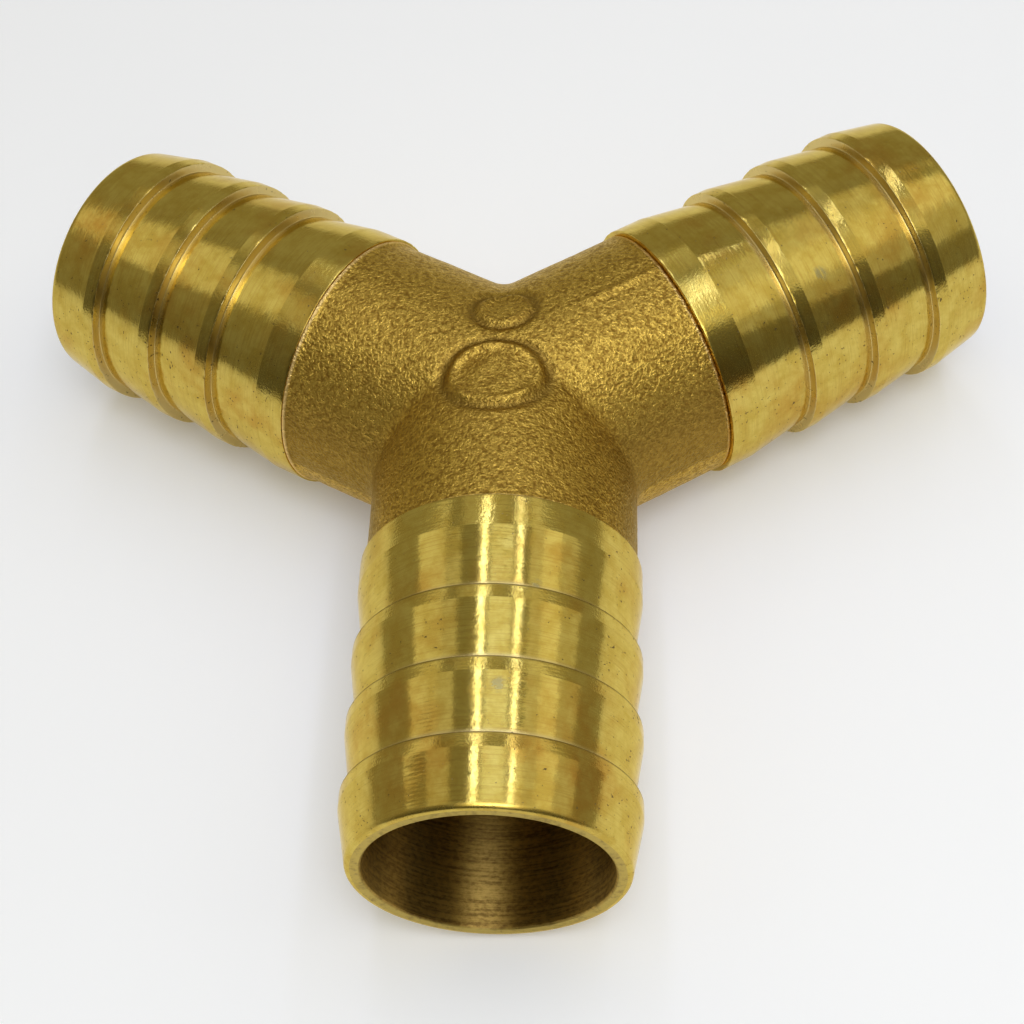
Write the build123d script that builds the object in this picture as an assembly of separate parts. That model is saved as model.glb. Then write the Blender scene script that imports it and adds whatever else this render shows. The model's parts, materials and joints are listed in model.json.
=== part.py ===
from build123d import *
from math import cos, radians, sin
import os

# A brass Y connector that joins three 25 mm (1 inch) hoses: a cast hub with three equal necks in
# one plane, and a turned, barbed hose tail in the socket of each neck.
#
# Frame: the origin is where the axes of the three legs meet. +Z is normal to the plane of the
# legs, and the front leg points along -Y. On a leg, s is the distance from the origin along the
# leg's axis, and r is the distance from that axis.

# Driving dimensions, in millimetres and degrees
LEG_ANGLES = {"front": -90, "left": 150, "right": 30}
CENTRE_TO_END = 49.5

# Cast hub
NECK_R = 13.0
NECK_LENGTH = 18.4
CROTCH_FILLET = 2.8
WATERWAY_R = 10.5

# Brazed joint: the socket in the hub's neck and the spigot on the tail
SOCKET_DEPTH = 5.0
SPIGOT_R = 12.0
BRAZE_GAP = 0.05
TIP_GAP = 0.1
SPIGOT_CHAMFER = 0.3

# Barbs: each has a steep face towards the hub, and falls away slowly towards the open end. The
# first stands against the neck's end.
BARBS = 4
CREST_R = 13.5
VALLEY_R = 12.6
STEP_LENGTH = 0.16
FIRST_PITCH = 9.7
PITCH = 7.4
FIRST_LAND = 3.3
LAND = 1.4
TOOL_NOSE_R = 0.2

# Open end of a tail
BORE_R = 11.1
END_R = 12.5
END_ROUND = 0.45
MOUTH_CHAMFER = 0.2

# Plain raised ovals on top of the hub: centre, half sizes along X and Y, and width of the rim
OVALS = [((0.0, -3.6), (4.7, 3.7), 0.8), ((0.6, 4.8), (2.6, 2.3), 0.6)]
RIM_HEIGHT = 0.3
FLOOR_HEIGHT = 0.1

# Places along a leg
SOCKET_FLOOR = NECK_LENGTH - SOCKET_DEPTH
SPIGOT_TIP = SOCKET_FLOOR + TIP_GAP
LATER_CRESTS = [NECK_LENGTH + FIRST_PITCH + i * PITCH for i in range(BARBS - 1)]


def leg_plane(angle):
    """The plane at the origin whose z axis runs outwards along the leg at this angle."""
    return Plane(origin=(0, 0, 0), x_dir=(0, 0, -1), z_dir=(cos(radians(angle)), sin(radians(angle)), 0))


def rod(angle, radius, start, end):
    """A round bar on a leg's axis, from start to end along it."""
    return leg_plane(angle).offset(start) * extrude(Circle(radius), end - start)


def three_rods(radius, start, end):
    """The same bar on all three legs."""
    return Part() + [rod(angle, radius, start, end) for angle in LEG_ANGLES.values()]


def blended_necks(radius):
    """Three necks of this radius, with the valleys between them filleted."""
    necks = three_rods(radius, 0, NECK_LENGTH)
    return fillet(necks.edges().filter_by(GeomType.ELLIPSE), CROTCH_FILLET)


def raised_oval(centre, half_sizes, rim):
    """A low oval rim with a slightly raised floor, both following the hub's surface."""
    outline = Pos(*centre) * Ellipse(*half_sizes)
    inside = Pos(*centre) * Ellipse(half_sizes[0] - rim, half_sizes[1] - rim)
    ring = extrude(outline - inside, CREST_R)
    floor = extrude(inside, CREST_R)
    return ring & blended_necks(NECK_R + RIM_HEIGHT), floor & blended_necks(NECK_R + FLOOR_HEIGHT)


def cast_hub():
    """The casting: blended necks with the raised ovals, cored for the waterway and the sockets."""
    hub = blended_necks(NECK_R)
    for centre, half_sizes, rim in OVALS:
        ring, floor = raised_oval(centre, half_sizes, rim)
        hub = hub + ring + floor
    sockets = three_rods(SPIGOT_R + BRAZE_GAP, SOCKET_FLOOR, NECK_LENGTH)
    return hub - three_rods(WATERWAY_R, 0, NECK_LENGTH) - sockets


def at(s, r):
    """A point of a turned outline, which is drawn beside the Z axis."""
    return Vector(r, 0, s)


def rounded(section, corner, radius):
    """The section with one of its corners rounded."""
    return fillet(section.vertices().sort_by_distance(corner)[0], radius)


def hose_tail(angle):
    """One turned tail: the spigot, four barbs, and the bore through them."""
    outline = [
        at(SPIGOT_TIP, BORE_R),
        at(SPIGOT_TIP, SPIGOT_R - SPIGOT_CHAMFER),
        at(SPIGOT_TIP + SPIGOT_CHAMFER, SPIGOT_R),
        at(NECK_LENGTH, SPIGOT_R),
        at(NECK_LENGTH, CREST_R),
        at(NECK_LENGTH + FIRST_LAND, CREST_R),
    ]
    valleys = [at(crest - STEP_LENGTH, VALLEY_R) for crest in LATER_CRESTS]
    for valley, crest in zip(valleys, LATER_CRESTS):
        outline += [valley, at(crest, CREST_R), at(crest + LAND, CREST_R)]
    outline += [
        at(CENTRE_TO_END, END_R),
        at(CENTRE_TO_END, BORE_R + MOUTH_CHAMFER),
        at(CENTRE_TO_END - MOUTH_CHAMFER, BORE_R),
    ]
    section = make_face(Polyline(*outline, close=True))
    for valley in valleys:
        section = rounded(section, valley, TOOL_NOSE_R)
    section = rounded(section, at(CENTRE_TO_END, END_R), END_ROUND)
    return leg_plane(angle) * revolve(section, Axis.Z)


os.makedirs("parts", exist_ok=True)
export_step(cast_hub(), "parts/cast_hub.step")
for leg, angle in LEG_ANGLES.items():
    export_step(hose_tail(angle), f"parts/{leg}_hose_tail.step")
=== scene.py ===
import json
from math import cos, pi, radians, sin

import bmesh
import bpy
import numpy as np
from mathutils import Matrix, Vector, noise


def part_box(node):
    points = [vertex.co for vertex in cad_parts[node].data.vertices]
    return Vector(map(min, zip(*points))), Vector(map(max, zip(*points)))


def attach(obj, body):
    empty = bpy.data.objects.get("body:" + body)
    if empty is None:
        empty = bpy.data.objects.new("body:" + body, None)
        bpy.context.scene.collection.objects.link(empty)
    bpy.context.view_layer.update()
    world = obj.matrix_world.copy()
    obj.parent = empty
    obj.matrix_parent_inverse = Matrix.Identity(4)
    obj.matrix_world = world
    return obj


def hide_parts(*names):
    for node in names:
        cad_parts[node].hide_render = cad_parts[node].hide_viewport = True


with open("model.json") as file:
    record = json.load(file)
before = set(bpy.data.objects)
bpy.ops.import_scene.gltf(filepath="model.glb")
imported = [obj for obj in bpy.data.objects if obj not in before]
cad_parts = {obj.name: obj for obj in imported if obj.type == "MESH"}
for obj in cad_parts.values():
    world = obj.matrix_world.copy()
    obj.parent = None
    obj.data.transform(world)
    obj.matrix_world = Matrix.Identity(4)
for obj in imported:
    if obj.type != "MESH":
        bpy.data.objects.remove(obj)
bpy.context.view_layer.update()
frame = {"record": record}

# A brass Y connector: a sand-cast hub and three turned hose tails. Lengths are in metres.
# On a leg, s runs outwards along the leg's axis from the origin, and r is the distance from it.

MM = 0.001
UP = np.array([0.0, 0.0, 1.0])
MOUNTS = {mount["name"]: mount for mount in frame["record"]["mounts"]}
FRONT_TAIL_LOW, FRONT_TAIL_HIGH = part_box("front_hose_tail")
HUB_LOW, HUB_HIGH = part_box("cast_hub")

CREST_R = MOUNTS["front_hose_barb"]["dims"]["r_mm"] * MM
BORE_R = MOUNTS["front_port"]["dims"]["r_mm"] * MM
LEG_END = -FRONT_TAIL_LOW.y
SPIGOT_TIP = -FRONT_TAIL_HIGH.y
NECK_LENGTH = -HUB_LOW.y
NECK_R = -HUB_LOW.z

# The rest of the design, as in the CAD model
WATERWAY_R = 10.5 * MM
SOCKET_R = 12.05 * MM
SOCKET_FLOOR = NECK_LENGTH - 5.0 * MM
CROTCH_FILLET = 2.8 * MM
SPIGOT_R = 12.0 * MM
SPIGOT_CHAMFER = 0.3 * MM
VALLEY_R = 12.6 * MM
STEP_LENGTH = 0.16 * MM
FIRST_LAND = 3.3 * MM
LAND = 1.4 * MM
LATER_CRESTS = [NECK_LENGTH + 9.7 * MM + i * 7.4 * MM for i in range(3)]
END_R = 12.5 * MM
END_ROUND = 0.45 * MM
MOUTH_CHAMFER = 0.2 * MM

# The foot of each barb's step, which is sharper here than in the CAD model
STEP_FOOT_ROUND = 0.08 * MM

# Plain raised ovals on the hub, in millimetres: centre, half sizes and width of the rim
OVALS = [((0.0, -3.6), (4.7, 3.7), 0.8), ((0.6, 4.8), (2.6, 2.3), 0.6)]

LEGS = ("front", "left", "right")
HALF_BETWEEN = radians(60)  # from a leg's axis to the plane half-way to its neighbour

# The machined tails are slightly off the axes of the cast necks, so these necks stand proud or low
CORE_SHIFTS = {"left": 0.26 * MM, "right": -0.15 * MM}
SHIFT_DIRECTION = np.array([0.0, -0.7, 0.7])

# How far the end of each cast neck curls up against the shoulder of its tail
NECK_FLARES = {"front": 0.06 * MM, "left": 0.36 * MM, "right": 0.10 * MM}

# How deep the tool's feed marks are on each tail
FEED_MARKS = {"front": 0.75, "left": 0.25, "right": 0.35}

# How strongly each tail's barb crests get painted shade: a dark line along each crest, on the front tail
# only
PAINTED_CREST_SHADE = {"front": 1.0, "left": 0.0, "right": 0.0}

# Blemishes on the tails: distance along the leg in mm, degrees round it (0 is its left side when
# looking outwards, and 90 is the top), and size in mm
STAINS = {
    "front": [(39.5, 125, 3.0), (45.5, 118, 3.5), (44.0, 70, 2.0), (46.5, 48, 2.5)],
    "left": [(46.0, 60, 3.0), (30.0, 30, 2.5)],
    "right": [(33.0, 140, 2.5), (45.0, 35, 3.0)],
}
SCUFFS = {"front": [(38.2, 83, 0.7), (27.2, 69, 0.5)], "left": [], "right": [(32.0, 125, 0.8)]}

# Small dents knocked into each tail
DENTS = 30

# Layers of unevenness in the cast skin, in millimetres: height, and size of the features
SKIN_LAYERS = [(0.05, 5.0), (0.022, 1.3), (0.014, 0.6)]

# The line where the two halves of the mould met, and the ridge along the top of the right neck
PARTING_Z, PARTING_WIDTH, PARTING_HEIGHT = 0.4 * MM, 0.2 * MM, 0.08 * MM
RIDGE_WIDTH, RIDGE_HEIGHT = 0.38 * MM, 0.26 * MM

# The end of each cast neck: how far its outer edge is rounded, and how long its smoother lip is
NECK_ROUND = 0.3 * MM
LIP_LENGTH = 1.0 * MM

# How finely the meshes are divided
TAIL_AROUND = 256
TAIL_ROW = 0.18 * MM
HIDDEN_ROW = 0.6 * MM
HUB_AROUND = 312
HUB_ROWS = 80
WATERWAY_ROWS = 16
WELD = 0.001 * MM
TINY = 1e-9  # keeps a division by nothing finite


# Mesh building


def leg_directions(name):
    """Unit vectors outwards along a leg, and to the left of someone who looks that way."""
    along = np.array(MOUNTS[name + "_hose_barb"]["axis"], float)
    return along, np.cross(UP, along)


def grid_faces(rings, around, joined):
    """The quads between successive rings of points; joined also links the last ring to the first."""
    ring = np.arange(rings if joined else rings - 1)[:, None]
    spot = np.arange(around)[None, :]
    next_ring, next_spot = (ring + 1) % rings, (spot + 1) % around
    corners = (
        ring * around + spot,
        ring * around + next_spot,
        next_ring * around + next_spot,
        next_ring * around + spot,
    )
    return np.stack(corners, axis=-1).reshape(-1, 4)


def new_piece(name, points, faces, replaced, material):
    """A closed mesh that rides on the object's one body and stands for a CAD node."""
    mesh = bpy.data.meshes.new(name)
    mesh.from_pydata(points.tolist(), [], faces.tolist())
    piece = bpy.data.objects.new(name, mesh)
    bpy.context.scene.collection.objects.link(piece)
    made = bmesh.new()
    made.from_mesh(mesh)
    bmesh.ops.remove_doubles(made, verts=made.verts, dist=WELD)
    bmesh.ops.recalc_face_normals(made, faces=made.faces)
    made.to_mesh(mesh)
    made.free()
    mesh.shade_smooth()
    mesh.materials.append(material)
    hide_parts(replaced)
    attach(piece, "root")
    return piece


def positions(mesh):
    """A mesh's points as an array with one row each."""
    flat = np.empty(len(mesh.vertices) * 3, np.float32)
    mesh.vertices.foreach_get("co", flat)
    return flat.reshape(-1, 3).astype(float)


def normals(mesh):
    """A mesh's vertex normals as an array with one row each."""
    flat = np.empty(len(mesh.vertices) * 3, np.float32)
    mesh.vertex_normals.foreach_get("vector", flat)
    return flat.reshape(-1, 3).astype(float)


def move_points(mesh, points):
    mesh.vertices.foreach_set("co", points.astype(np.float32).ravel())
    mesh.update()


def store_vectors(mesh, name, vectors):
    """Saves one vector for each point, which a material reads by name."""
    layer = mesh.attributes.new(name, "FLOAT_VECTOR", "POINT")
    layer.data.foreach_set("vector", vectors.astype(np.float32).ravel())


def store_marks(mesh, name, *marks):
    """Saves up to three numbers for each point as one vector."""
    unused = [np.zeros(len(mesh.vertices))] * (3 - len(marks))
    store_vectors(mesh, name, np.stack([*marks, *unused], axis=1))


def smooth_step(low, high, value):
    """Rises smoothly from 0 at low to 1 at high."""
    t = np.clip((value - low) / (high - low), 0, 1)
    return t * t * (3 - 2 * t)


def noise_at(points, size, seed):
    """Smooth noise from about -1 to 1 at each point, with features of this size."""
    shift = Vector((seed * 17.3, seed * 5.1, seed * 9.7))
    return np.array([noise.noise(Vector(p) / size + shift) for p in points])


# Hose tails


def tail_corners():
    """The turned outline as (s, r, how far the corner is rounded), from the spigot's tip."""
    fine, soft = 0.04 * MM, 0.07 * MM
    corners = [
        (SPIGOT_TIP, BORE_R, fine),
        (SPIGOT_TIP, SPIGOT_R - SPIGOT_CHAMFER, fine),
        (SPIGOT_TIP + SPIGOT_CHAMFER, SPIGOT_R, fine),
        (NECK_LENGTH, SPIGOT_R, fine),
        (NECK_LENGTH, CREST_R, soft),
    ]
    land_end = NECK_LENGTH + FIRST_LAND
    for crest in LATER_CRESTS:
        corners.append((land_end, CREST_R, soft))
        corners.append((crest - STEP_LENGTH, VALLEY_R, STEP_FOOT_ROUND))
        corners.append((crest, CREST_R, fine))
        land_end = crest + LAND
    corners += [
        (land_end, CREST_R, soft),
        (LEG_END, END_R, END_ROUND),
        (LEG_END, BORE_R + MOUTH_CHAMFER, fine),
        (LEG_END - MOUTH_CHAMFER, BORE_R, fine),
    ]
    return corners


def rounded(corners):
    """Replaces each corner of a closed outline by a short curve."""
    points = []
    for i, (s, r, size) in enumerate(corners):
        corner = np.array((s, r))
        before = np.array(corners[i - 1][:2]) - corner
        after = np.array(corners[(i + 1) % len(corners)][:2]) - corner
        start = corner + before / np.linalg.norm(before) * size
        end = corner + after / np.linalg.norm(after) * size
        for t in (0.0, 0.25, 0.5, 0.75, 1.0):
            points.append((1 - t) ** 2 * start + 2 * t * (1 - t) * corner + t**2 * end)
    return points


def tail_outline():
    """The closed outline in close rows where it shows, and wide rows on the spigot and in the bore."""
    points = rounded(tail_corners())
    rows = []
    for start, end in zip(points, points[1:] + points[:1]):
        shows = min(start[0], end[0]) > NECK_LENGTH - 0.01 * MM and max(start[1], end[1]) > SPIGOT_R
        row = TAIL_ROW if shows else HIDDEN_ROW
        steps = max(1, round(np.linalg.norm(end - start) / row))
        rows += [start + (end - start) * i / steps for i in range(steps)]
    return np.array(rows)


def edge_nicks(s, deepest, draw):
    """How much is chipped off each row round the turned edges, at each angle."""
    chips = np.zeros((len(s), TAIL_AROUND))
    for edge in (NECK_LENGTH, *LATER_CRESTS):
        wear = np.clip(draw.normal(0, 1, TAIL_AROUND), 0, None)
        near = np.exp(-(((s - edge) / (0.12 * MM)) ** 2))
        chips += deepest * near[:, None] * wear[None, :]
    return chips


def spots(where_s, where_angle, marks):
    """Soft round marks on a tail, each at a distance along it, an angle round it and a size."""
    strength = np.zeros(where_s.shape)
    for distance, degrees, size in marks:
        turn = (where_angle - radians(degrees) + pi) % (2 * pi) - pi
        apart = np.hypot(where_s - distance * MM, turn * CREST_R) / (size * MM)
        strength = np.maximum(strength, np.exp(-(apart**2)))
    return strength


def hose_tail(leg, seed, outer_material, inner_material):
    """One turned tail, with nicked edges and small dents in its surface."""
    draw = np.random.default_rng(seed)
    along, side = leg_directions(leg)
    outline = tail_outline()
    s, r = outline[:, 0], outline[:, 1]
    outside = (s > NECK_LENGTH) & (r > SPIGOT_R)
    angle = np.arange(TAIL_AROUND) / TAIL_AROUND * 2 * pi
    deepest_nick = (0.035 - 0.025 * PAINTED_CREST_SHADE[leg]) * MM
    on_crest = r > CREST_R - 0.1 * MM
    radius = r[:, None] - edge_nicks(s, deepest_nick, draw) * on_crest[:, None]
    where_s = np.repeat(s[:, None], TAIL_AROUND, axis=1)
    where_angle = np.repeat(angle[None, :], len(s), axis=0)
    for _ in range(DENTS):
        dent_s = draw.uniform(NECK_LENGTH, LEG_END)
        dent_angle = draw.uniform(0, 2 * pi)
        width = draw.uniform(0.2, 0.4) * MM
        length = width * draw.uniform(1, 2.5)
        depth = draw.uniform(0.004, 0.012) * MM
        turn = (where_angle - dent_angle + pi) % (2 * pi) - pi
        spread = ((where_s - dent_s) / width) ** 2 + (turn * CREST_R / length) ** 2
        radius -= np.where(outside[:, None], depth * np.exp(-spread), 0)
    across = radius * np.cos(where_angle)
    upward = radius * np.sin(where_angle)
    points = where_s[..., None] * along + across[..., None] * side + upward[..., None] * UP
    faces = grid_faces(len(s), TAIL_AROUND, joined=True)
    node = leg + "_hose_tail"
    tail = new_piece("turned_" + node, points.reshape(-1, 3), faces, node, outer_material)
    mark_tail(tail.data, leg, seed)
    bore_faces(tail.data, along, inner_material)
    return tail


def mark_tail(mesh, leg, seed):
    """Stores what the brass materials read: where each point is on its lathe, and what is there."""
    along, side = leg_directions(leg)
    co, facing = positions(mesh), normals(mesh)
    s, across, upward = co @ along, co @ side, co[:, 2]
    lathe = np.stack([across, upward, s], axis=1) / MM
    store_vectors(mesh, "lathe", lathe)
    store_vectors(mesh, "grain", lathe + np.array([61.0, 37.0, 23.0]) * seed)
    radial = np.stack([across, upward], axis=1) / np.hypot(across, upward)[:, None]
    round_axis = -radial[:, 1:] * side + radial[:, :1] * UP
    store_vectors(mesh, "across_grooves", np.cross(facing, round_axis))
    land = (s < NECK_LENGTH + FIRST_LAND).astype(float)
    groove = np.zeros(len(s))
    for crest in LATER_CRESTS:
        land += (s > crest) & (s < crest + LAND)
        before = smooth_step(crest - 0.9 * MM, crest - 0.4 * MM, s)
        groove = np.maximum(groove, before * (s < crest + 0.03 * MM))
    feed = np.full(len(s), FEED_MARKS[leg])
    store_marks(mesh, "zones", land, groove, feed)
    angle = np.arctan2(upward, across)
    low = smooth_step(0.9, 0.5, upward / CREST_R)
    store_marks(mesh, "wear", spots(s, angle, STAINS[leg]), spots(s, angle, SCUFFS[leg]), low)
    lip = smooth_step(LEG_END - 0.7 * MM, LEG_END - 0.35 * MM, s)
    # Painted shade: a dark line along each crest of the barbs
    crest_shade = np.zeros(len(s))
    for crest in LATER_CRESTS:
        crest_shade = np.maximum(crest_shade, np.exp(-(((s - crest + 0.03 * MM) / (0.12 * MM)) ** 2)))
    store_marks(mesh, "edges", lip, crest_shade * PAINTED_CREST_SHADE[leg])


def bore_faces(mesh, along, material):
    """Gives the bore and the annular end face their own material."""
    mesh.materials.append(material)
    for face in mesh.polygons:
        centre = np.array(face.center)
        off_axis = np.linalg.norm(centre - along * (centre @ along))
        on_end = centre @ along > LEG_END - 0.01 * MM
        if off_axis < BORE_R + MOUTH_CHAMFER + 0.05 * MM or on_end:
            face.material_index = 1


# Cast hub


def neck_rows(angle, radius, fillet, end, rows):
    """Rows along a neck's wall at one angle round it, from the blend with its neighbour to its end."""
    width = abs(cos(angle)) * radius
    blend = fillet * abs(cos(angle))
    centre_s, centre_q = (width + blend) / np.tan(HALF_BETWEEN), width + blend
    arc_length = blend * (pi / 2 - HALF_BETWEEN)
    length = arc_length + end - centre_s
    run = np.linspace(0, length, rows)
    turned = pi + HALF_BETWEEN + run / max(blend, TINY)
    on_arc = run < arc_length
    s = np.where(on_arc, centre_s + blend * np.cos(turned), centre_s + run - arc_length)
    q = np.where(on_arc, centre_q + blend * np.sin(turned), width)
    return s, q * (1 if cos(angle) >= 0 else -1), np.full(rows, sin(angle) * radius)


def neck_section(angle):
    """All rows of a neck at one angle: outer wall, end face, socket, and waterway back inwards."""
    sections = [neck_rows(angle, NECK_R, CROTCH_FILLET, NECK_LENGTH - NECK_ROUND, HUB_ROWS)]
    plain = []
    for turn in np.radians((30, 60, 90)):
        rounding = NECK_ROUND * (1 - sin(turn)), NECK_ROUND * (1 - cos(turn))
        plain.append((NECK_LENGTH - rounding[0], NECK_R - rounding[1]))
    plain += [
        (NECK_LENGTH, (NECK_R + SOCKET_R) / 2),
        (NECK_LENGTH, SOCKET_R),
        (NECK_LENGTH - 1.5 * MM, SOCKET_R),
        (SOCKET_FLOOR, SOCKET_R),
        (SOCKET_FLOOR, (SOCKET_R + WATERWAY_R) / 2),
    ]
    s, r = np.array(plain).T
    sections.append((s, r * cos(angle), r * sin(angle)))
    inner = neck_rows(angle, WATERWAY_R, 0, SOCKET_FLOOR, WATERWAY_ROWS)
    sections.append(tuple(row[::-1] for row in inner))
    return np.concatenate([np.stack(section, axis=1) for section in sections])


def inside_oval(points, centre, half_sizes):
    """How far each point is inwards from an oval's edge: less than nothing outside it."""
    x = (points[:, 0] - centre[0] * MM) / (half_sizes[0] * MM)
    y = (points[:, 1] - centre[1] * MM) / (half_sizes[1] * MM)
    return (1 - np.hypot(x, y)) * min(half_sizes) * MM


def oval_relief(points, centre, half_sizes, rim):
    """How far a plain oval rim with a worn, lumpy floor stands out, with a shallow moat round it."""
    inward = inside_oval(points, centre, half_sizes)
    crown = np.exp(-(((inward - rim / 2) / (0.4 * rim)) ** 2))
    floor = smooth_step(0, rim, inward)
    moat = np.exp(-(((inward + 0.5 * MM) / (0.4 * MM)) ** 2))
    lumps = smooth_step(0.7 * rim, 1.3 * rim, inward) * noise_at(points, 1.9 * MM, 8)
    wear = 0.75 + 0.7 * noise_at(points, 1.6 * MM, 6)
    return (0.40 * crown * wear + 0.06 * floor - 0.25 * moat + 0.13 * lumps) * MM


def casting_relief(points, facing):
    """How far the cast skin stands out from the smooth hub, at each point of its outside."""
    height = np.zeros(len(points))
    for seed, (layer_height, size) in enumerate(SKIN_LAYERS, start=1):
        height += layer_height * MM * noise_at(points, size * MM, seed)
    parting = np.exp(-(((points[:, 2] - PARTING_Z) / PARTING_WIDTH) ** 2))
    height += PARTING_HEIGHT * parting * (0.7 + 0.5 * noise_at(points, 2 * MM, 4))
    top = smooth_step(0.2, 0.5, facing[:, 2])
    for centre, half_sizes, rim in OVALS:
        height += top * oval_relief(points, centre, half_sizes, rim * MM)
    right_axis, right_side = leg_directions("right")
    on_ridge = np.exp(-((points @ right_side / RIDGE_WIDTH) ** 2)) * top
    height += RIDGE_HEIGHT * on_ridge * smooth_step(7.5 * MM, 12 * MM, points @ right_axis)
    return height


def painted_hub_shade(points, facing):
    """How much painted shade darkens the cast skin: in the moats round the ovals, and low on the sides."""
    dull = 0.9 * smooth_step(0.7, 0.3, points[:, 2] / NECK_R) * (points[:, 2] > -2 * MM)
    top = smooth_step(0.2, 0.5, facing[:, 2])
    for centre, half_sizes, _ in OVALS:
        inward = inside_oval(points, centre, half_sizes)
        dull = np.maximum(dull, top * np.exp(-(((inward + 0.45 * MM) / (0.45 * MM)) ** 2)))
    return dull


def neck_shifts(points, facing):
    """How far the surface moves out where necks curl up at their ends or are off their tails' axes."""
    height = np.zeros(len(points))
    for leg, flare in NECK_FLARES.items():
        along, _ = leg_directions(leg)
        from_end = NECK_LENGTH - points @ along
        height += flare * np.exp(-((np.clip(from_end, 0, None) / (0.4 * MM)) ** 2)) * (from_end < 2 * MM)
    for leg, shift in CORE_SHIFTS.items():
        along, _ = leg_directions(leg)
        on_neck = smooth_step(7 * MM, 16 * MM, points @ along)
        across = facing - (facing @ along)[:, None] * along
        across /= np.linalg.norm(across, axis=1)[:, None] + TINY
        height += shift * on_neck * (across @ SHIFT_DIRECTION)
    return height


def cast_hub(material):
    """The casting, with blended crotches, uneven skin, parting line and plain raised ovals."""
    angles = -pi / 2 + np.arange(HUB_AROUND) / HUB_AROUND * 2 * pi
    section = np.stack([neck_section(angle) for angle in angles], axis=1)
    points, faces = [], []
    for leg in LEGS:
        along, side = leg_directions(leg)
        first_point = len(faces) * section[..., 0].size
        faces.append(grid_faces(len(section), HUB_AROUND, joined=False) + first_point)
        placed = section[..., :1] * along + section[..., 1:2] * side + section[..., 2:] * UP
        points.append(placed.reshape(-1, 3))
    points, faces = np.concatenate(points), np.concatenate(faces)
    hub = new_piece("sand_cast_hub", points, faces, "cast_hub", material)
    co, facing = positions(hub.data), normals(hub.data)
    run = np.full(len(co), -1.0)
    off_axis = np.zeros(len(co))
    outward = facing.copy()
    for leg in LEGS:
        along, side = leg_directions(leg)
        nearer = co @ along > run
        run = np.where(nearer, co @ along, run)
        off_axis = np.where(nearer, np.hypot(co @ side, co[:, 2]), off_axis)
        at_lip = co @ along > NECK_LENGTH - LIP_LENGTH
        radial = co - (co @ along)[:, None] * along
        radial /= np.linalg.norm(radial, axis=1)[:, None] + TINY
        outward = np.where(at_lip[:, None], radial, outward)
    outside = off_axis > NECK_R - NECK_ROUND
    fade = smooth_step(NECK_LENGTH, NECK_LENGTH - LIP_LENGTH, run)
    relief = casting_relief(co, facing) * (0.35 + 0.65 * fade) + neck_shifts(co, facing)
    moved = co + outward * (relief * outside)[:, None]
    move_points(hub.data, moved)
    store_marks(hub.data, "skin", painted_hub_shade(co, facing), 1 - fade)
    return hub


# Materials

# What brass turns white light into at a grazing angle
EDGE_TINT = (1.0, 0.91, 0.62, 1.0)


class Nodes:
    """A short way to write a material's nodes: inputs are constants or other nodes' outputs."""

    def __init__(self, name):
        self.material = bpy.data.materials.new(name)
        self.material.use_nodes = True
        self.tree = self.material.node_tree
        self.tree.nodes.clear()

    def add(self, kind, inputs, output=0, **settings):
        node = self.tree.nodes.new(kind)
        for name, value in settings.items():
            setattr(node, name, value)
        for name, value in inputs.items():
            if isinstance(value, bpy.types.NodeSocket):
                self.tree.links.new(value, node.inputs[name])
            else:
                node.inputs[name].default_value = value
        return node.outputs[output] if node.outputs else None

    def attribute(self, name):
        return self.add("ShaderNodeAttribute", {}, "Vector", attribute_name=name)

    def scaled(self, vector, scale):
        return self.add("ShaderNodeVectorMath", {0: vector, 1: scale}, operation="MULTIPLY")

    def parts(self, vector):
        """The three numbers in a vector."""
        split = self.add("ShaderNodeSeparateXYZ", {"Vector": vector}).node
        return tuple(split.outputs)

    def length(self, vector):
        return self.add("ShaderNodeVectorMath", {0: vector}, "Value", operation="LENGTH")

    def noise(self, vector, scale, detail=2.0, roughness=0.5):
        inputs = {"Vector": vector, "Scale": scale, "Detail": detail, "Roughness": roughness}
        return self.add("ShaderNodeTexNoise", inputs)

    def ranged(self, value, low, high, to_low=0.0, to_high=1.0):
        inputs = {"Value": value, "From Min": low, "From Max": high, "To Min": to_low, "To Max": to_high}
        return self.add("ShaderNodeMapRange", inputs)

    def mixed(self, amount, colour_a, colour_b, blend="MIX"):
        inputs = {0: amount, 6: colour_a, 7: colour_b}
        return self.add("ShaderNodeMix", inputs, 2, data_type="RGBA", blend_type=blend)

    def math(self, operation, a, b=0.0):
        return self.add("ShaderNodeMath", {0: a, 1: b}, operation=operation)

    def bump(self, height, strength, distance, normal=None):
        inputs = {"Height": height, "Strength": strength, "Distance": distance}
        if normal:
            inputs["Normal"] = normal
        return self.add("ShaderNodeBump", inputs)

    def metal(self, colour, roughness, normal, anisotropic=0.0, tangent=None):
        inputs = {
            "Base Color": colour,
            "Metallic": 1.0,
            "Specular Tint": EDGE_TINT,
            "Roughness": roughness,
            "Normal": normal,
            "Anisotropic": anisotropic,
        }
        if tangent:
            inputs["Tangent"] = tangent
        shader = self.add("ShaderNodeBsdfPrincipled", inputs)
        self.add("ShaderNodeOutputMaterial", {"Surface": shader})
        return self.material


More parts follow.
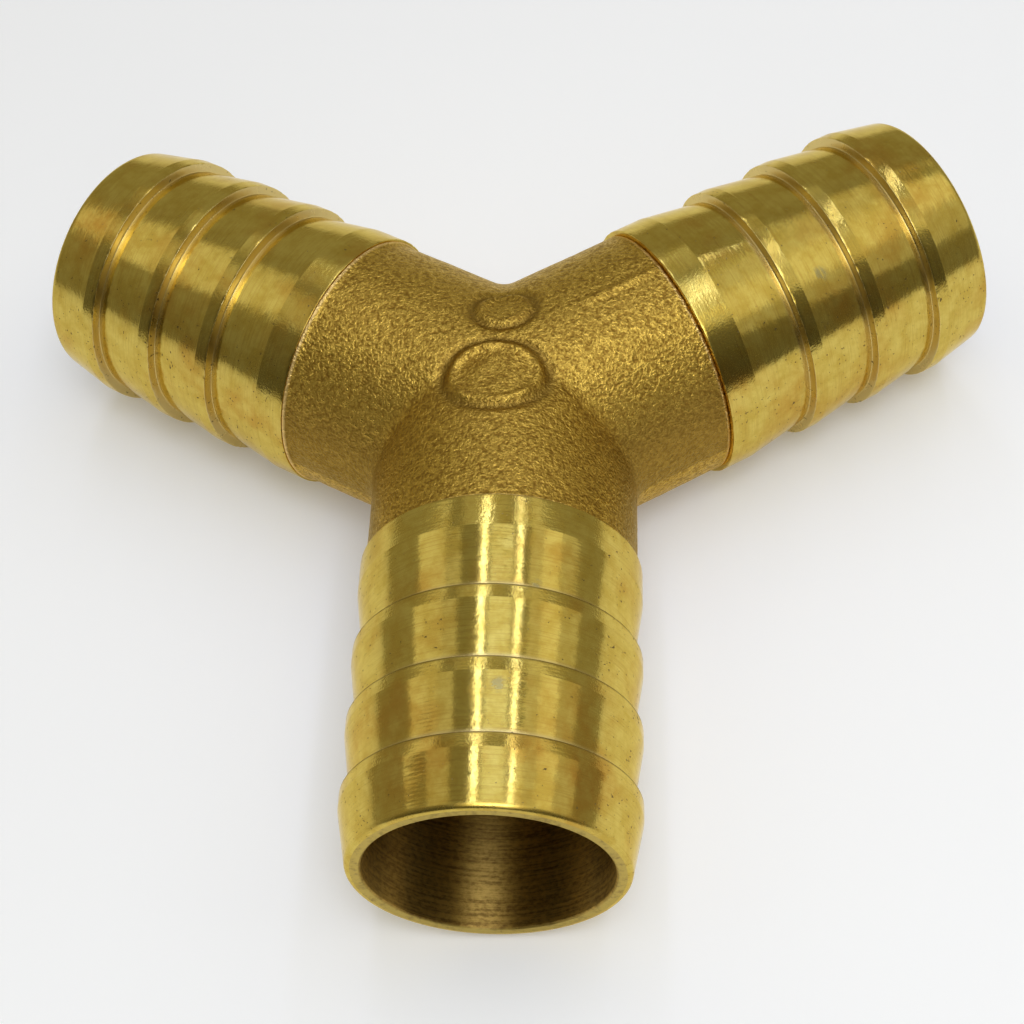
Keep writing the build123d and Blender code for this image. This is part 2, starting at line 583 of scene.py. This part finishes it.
def turned_brass():
    """Bright brass: tool marks round the axis, duller lands and grooves, tarnish, scuffs and specks."""
    nodes = Nodes("turned_brass_surface")
    grain = nodes.attribute("grain")
    land, groove, feed_depth = nodes.parts(nodes.attribute("zones"))
    stained, scuffed, low = nodes.parts(nodes.attribute("wear"))
    lip, crest_shade, _ = nodes.parts(nodes.attribute("edges"))

    # Patterns
    feed = nodes.add(
        "ShaderNodeTexWave",
        {"Vector": grain, "Scale": 0.83, "Distortion": 2.0, "Detail": 3.0, "Detail Scale": 0.6},
        "Fac",
        bands_direction="Z",
    )
    scratches = nodes.noise(nodes.scaled(grain, (0.22, 0.22, 7.0)), 1.0, 3.0, 0.65)
    ripple = nodes.noise(nodes.scaled(grain, (0.9, 0.9, 2.2)), 1.0, 3.0, 0.65)
    swell = nodes.noise(nodes.scaled(grain, (0.7, 0.7, 1.0)), 0.8, 2.0, 0.5)
    dimples = nodes.noise(grain, 5.0, 2.0, 0.5)
    cloud = nodes.noise(grain, 0.45, 4.0, 0.65)
    blotch = nodes.noise(grain, 0.16, 3.0, 0.55)
    specks = nodes.noise(nodes.scaled(grain, (1.0, 1.0, 1.5)), 2.4, 2.0, 0.55)
    low_down = nodes.math("MULTIPLY", low, 0.045)
    crowded = nodes.math("ADD", nodes.ranged(cloud, 0.5, 0.7, -0.03, 0.06), low_down)
    specks = nodes.ranged(nodes.math("ADD", specks, crowded), 0.70, 0.74)
    scuff = nodes.math("MULTIPLY", nodes.ranged(ripple, 0.42, 0.58), nodes.ranged(scuffed, 0.2, 0.7))

    # Colour
    colour = nodes.mixed(nodes.ranged(cloud, 0.38, 0.62), (0.65, 0.50, 0.115, 1), (0.55, 0.39, 0.07, 1))
    stain = nodes.math("MULTIPLY", stained, 0.7)
    tarnish = nodes.math("ADD", nodes.ranged(blotch, 0.50, 0.70, 0.0, 0.65), stain)
    tarnish = nodes.math("MULTIPLY", tarnish, nodes.ranged(cloud, 0.35, 0.6, 0.4, 1.0))
    colour = nodes.mixed(tarnish, colour, (0.50, 0.27, 0.045, 1))
    colour = nodes.mixed(nodes.ranged(scratches, 0.48, 0.75, 0.0, 0.6), colour, (0.45, 0.28, 0.05, 1))
    colour = nodes.mixed(groove, colour, (0.64, 0.50, 0.20, 1))
    # Painted shade: a dark brown line along the crests of the barbs
    colour = nodes.mixed(nodes.math("MULTIPLY", crest_shade, 0.95), colour, (0.10, 0.055, 0.012, 1))
    colour = nodes.mixed(nodes.math("MULTIPLY", scuff, 0.6), colour, (0.30, 0.28, 0.15, 1))
    colour = nodes.mixed(specks, colour, (0.17, 0.12, 0.045, 1))

    # Roughness
    roughness = nodes.ranged(cloud, 0.3, 0.75, 0.09, 0.19)
    for zone, more in ((land, 0.03), (groove, 0.16), (lip, 0.13), (crest_shade, 0.4), (scuff, 0.2), (specks, 0.3)):
        roughness = nodes.math("ADD", roughness, nodes.math("MULTIPLY", zone, more))

    # Relief
    stretches = nodes.noise(nodes.scaled(grain, (1.0, 1.0, 0.6)), 0.35, 2.0, 0.5)
    feed = nodes.math("MULTIPLY", feed, nodes.ranged(stretches, 0.35, 0.65, 0.2, 1.1))
    lines = nodes.math("MULTIPLY", nodes.math("ADD", feed, scratches), feed_depth)
    normal = nodes.bump(lines, 1.0, 0.0024 * MM)
    normal = nodes.bump(swell, 1.0, 0.018 * MM, normal)
    normal = nodes.bump(ripple, 1.0, 0.0085 * MM, normal)
    normal = nodes.bump(scratches, 1.0, 0.0014 * MM, normal)
    rough_land = nodes.math("MULTIPLY", dimples, nodes.math("ADD", nodes.math("MULTIPLY", land, 3.0), 1.0))
    normal = nodes.bump(rough_land, 1.0, 0.0026 * MM, normal)
    normal = nodes.bump(specks, -1.0, 0.02 * MM, normal)
    return nodes.metal(colour, roughness, normal, 0.35, nodes.attribute("across_grooves"))


def bored_brass():
    """The bores and annular end faces: duller, browner brass with coarse rings from the boring tool."""
    nodes = Nodes("bored_brass_surface")
    grain = nodes.attribute("grain")
    radius = nodes.length(nodes.scaled(nodes.attribute("lathe"), (1.0, 1.0, 0.0)))
    end = nodes.ranged(radius, BORE_R / MM + 0.05, BORE_R / MM + 0.2)
    rings = nodes.noise(nodes.scaled(grain, (0.12, 0.12, 4.0)), 1.0, 4.0, 0.65)
    pitting = nodes.noise(nodes.scaled(grain, (1.0, 1.0, 1.6)), 1.8, 4.0, 0.65)
    dull = nodes.ranged(nodes.math("ADD", rings, pitting), 0.85, 1.2)
    inside = nodes.mixed(dull, (0.50, 0.32, 0.075, 1), (0.21, 0.12, 0.028, 1))
    face = nodes.mixed(nodes.ranged(pitting, 0.5, 0.7), (0.50, 0.37, 0.10, 1), (0.28, 0.19, 0.06, 1))
    colour = nodes.mixed(end, inside, face)
    roughness = nodes.mixed(end, nodes.ranged(pitting, 0.3, 0.7, 0.38, 0.46), (0.30, 0.30, 0.30, 1))
    normal = nodes.bump(rings, 1.0, 0.02 * MM)
    normal = nodes.bump(pitting, 1.0, 0.02 * MM, normal)
    return nodes.metal(colour, roughness, normal, 0.95, nodes.attribute("across_grooves"))


def cast_brass():
    """Sand-cast skin: pebbled grain, dull in the pits and burnished on the peaks."""
    nodes = Nodes("cast_brass_surface")
    painted_shade, burnished, _ = nodes.parts(nodes.attribute("skin"))
    place = nodes.add("ShaderNodeTexCoord", {}, "Object")
    place = nodes.scaled(place, (1 / MM, 1 / MM, 1 / MM))
    pebbles = nodes.noise(place, 2.1, 1.5, 0.45)
    sand = nodes.noise(place, 4.2, 3.0, 0.6)
    patches = nodes.noise(place, 0.16, 3.0, 0.5)
    grain = nodes.math("ADD", nodes.math("MULTIPLY", pebbles, 0.55), nodes.math("MULTIPLY", sand, 0.45))
    worn, pitted = (0.62, 0.40, 0.068, 1), (0.28, 0.155, 0.022, 1)
    colour = nodes.mixed(nodes.ranged(grain, 0.38, 0.60), pitted, worn)
    colour = nodes.mixed(nodes.ranged(patches, 0.4, 0.7, 0.0, 0.3), colour, (0.48, 0.29, 0.05, 1))
    # Painted shade: darker brown low on the sides and in the moats round the ovals
    colour = nodes.mixed(nodes.math("MULTIPLY", painted_shade, 0.8), colour, (0.24, 0.14, 0.025, 1))
    colour = nodes.mixed(nodes.ranged(burnished, 0.6, 0.9), colour, (0.84, 0.58, 0.22, 1))
    roughness = nodes.ranged(grain, 0.42, 0.60, 0.42, 0.27)
    normal = nodes.bump(pebbles, 1.0, 0.12 * MM)
    normal = nodes.bump(sand, 1.0, 0.10 * MM, normal)
    return nodes.metal(colour, roughness, normal)


def floor_surface():
    """Plain matt white sheet, barely uneven, which glows a little so that shadows on it stay pale."""
    nodes = Nodes("floor_surface")
    place = nodes.add("ShaderNodeTexCoord", {}, "Object")
    shade = nodes.ranged(nodes.noise(place, 3.0), 0.3, 0.7, 0.0, 1.0)
    colour = nodes.mixed(shade, (0.89, 0.88, 0.855, 1), (0.91, 0.90, 0.875, 1))
    inputs = {"Base Color": colour, "Roughness": 0.9, "Emission Color": colour, "Emission Strength": 0.19}
    shader = nodes.add("ShaderNodeBsdfPrincipled", inputs)
    nodes.add("ShaderNodeOutputMaterial", {"Surface": shader})
    return nodes.material


# Camera, floor and lights


def look_at(position, target, roll):
    """The matrix of a camera or light at position that faces target."""
    forward = (target - position).normalized()
    right = forward.cross(Vector((0, 0, 1))).normalized()
    up = right.cross(forward)
    turned_right = right * cos(roll) + up * sin(roll)
    turned_up = up * cos(roll) - right * sin(roll)
    axes = Matrix((turned_right, turned_up, -forward)).transposed()
    return Matrix.Translation(position) @ axes.to_4x4()


def add_camera():
    azimuth, elevation, roll = radians(8.27), radians(51.12), radians(-8.39)
    distance = 200 * MM
    target = Vector((0.78 * MM, -10.67 * MM, 0))
    back = Vector((sin(azimuth) * cos(elevation), -cos(azimuth) * cos(elevation), sin(elevation)))
    data = bpy.data.cameras.new("camera")
    data.lens = 69.44
    data.sensor_width = 36
    data.clip_start = 0.005
    camera = bpy.data.objects.new("camera", data)
    bpy.context.scene.collection.objects.link(camera)
    camera.matrix_world = look_at(back * distance, target, roll)
    bpy.context.scene.camera = camera


def add_floor():
    mesh = bpy.data.meshes.new("floor")
    reach, level = 3.0, FRONT_TAIL_LOW.z
    corners = ((-reach, -reach), (reach, -reach), (reach, reach), (-reach, reach))
    mesh.from_pydata([(x, y, level) for x, y in corners], [], [(0, 1, 2, 3)])
    mesh.materials.append(floor_surface())
    floor = bpy.data.objects.new("floor", mesh)
    bpy.context.scene.collection.objects.link(floor)


# The colours of the lights
WARM = (1.05, 0.98, 0.66)
NEUTRAL = (1.0, 1.0, 0.96)
COOL = (0.9, 1.0, 1.25)
ICY = (0.92, 1.0, 1.4)

# How high the lights hang
CEILING = 0.5


def add_ceiling_light(name, x_range, y_range, brightness, colour):
    """A soft rectangular light overhead; its ranges are parts of the ceiling's height."""
    data = bpy.data.lights.new(name, "AREA")
    data.shape = "RECTANGLE"
    data.size = (x_range[1] - x_range[0]) * CEILING
    data.size_y = (y_range[1] - y_range[0]) * CEILING
    data.energy = brightness * pi * data.size * data.size_y
    data.color = colour
    light = bpy.data.objects.new(name, data)
    bpy.context.scene.collection.objects.link(light)
    light.visible_camera = False
    middle = Vector((sum(x_range) / 2, sum(y_range) / 2, 1.0))
    light.matrix_world = Matrix.Translation(middle * CEILING)


def add_lights():
    add_ceiling_light("left_strip", (-0.155, -0.085), (-0.3, 0.9), 4.0, ICY)
    add_ceiling_light("right_strip", (0.325, 0.40), (-0.3, 0.9), 3.3, ICY)
    add_ceiling_light("middle_panel", (-0.03, 0.27), (-0.15, 0.35), 0.95, COOL)
    add_ceiling_light("back_panel", (-0.5, 0.2), (0.5, 1.15), 0.22, NEUTRAL)
    add_ceiling_light("front_softbox", (-0.05, 0.40), (-0.72, -0.26), 5.6, COOL)
    add_ceiling_light("front_diffuser", (-0.25, 0.6), (-0.95, -0.15), 1.2, WARM)
    add_ceiling_light("left_panel", (-1.7, -0.75), (0.2, 0.95), 0.5, NEUTRAL)
    add_ceiling_light("left_inner_panel", (-0.88, -0.46), (-0.2, 0.4), 0.36, NEUTRAL)
    add_ceiling_light("right_panel", (0.77, 1.28), (-0.3, 0.8), 0.7, NEUTRAL)
    add_ceiling_light("right_inner_panel", (0.52, 0.77), (-0.4, 1.1), 0.45, NEUTRAL)
    add_ceiling_light("small_panel", (0.41, 0.52), (-0.22, 0.14), 0.7, NEUTRAL)
    add_ceiling_light("right_outer_panel", (1.28, 2.5), (-0.5, 0.9), 0.3, NEUTRAL)
    add_ceiling_light("low_front_panel", (0.1, 0.54), (-2.2, -0.95), 0.9, NEUTRAL)


def add_surroundings():
    """A dim, warm room: darker in front of the object than behind it, and a little darker overhead."""
    world = bpy.data.worlds.new("room")
    bpy.context.scene.world = world
    world.use_nodes = True
    tree = world.node_tree
    background = tree.nodes["Background"]
    place = tree.nodes.new("ShaderNodeTexCoord")
    split = tree.nodes.new("ShaderNodeSeparateXYZ")
    tree.links.new(place.outputs["Generated"], split.inputs[0])
    factors = []
    for axis, low, high, at_low, at_high in (("Y", -0.6, 0.1, 0.08, 0.34), ("Z", 0.5, 0.8, 1.0, 0.8)):
        ramp = tree.nodes.new("ShaderNodeMapRange")
        for name, value in (("From Min", low), ("From Max", high), ("To Min", at_low), ("To Max", at_high)):
            ramp.inputs[name].default_value = value
        tree.links.new(split.outputs[axis], ramp.inputs["Value"])
        factors.append(ramp.outputs[0])
    product = tree.nodes.new("ShaderNodeMath")
    product.operation = "MULTIPLY"
    for socket, factor in zip(product.inputs, factors):
        tree.links.new(factor, socket)
    tree.links.new(product.outputs[0], background.inputs["Strength"])
    background.inputs["Color"].default_value = (1.03, 0.98, 0.76, 1)


add_camera()
turned, bored = turned_brass(), bored_brass()
for seed, leg_name in enumerate(LEGS):
    hose_tail(leg_name, seed, turned, bored)
cast_hub(cast_brass())
add_floor()
add_lights()
add_surroundings()
bpy.context.scene.view_settings.view_transform = "Standard"
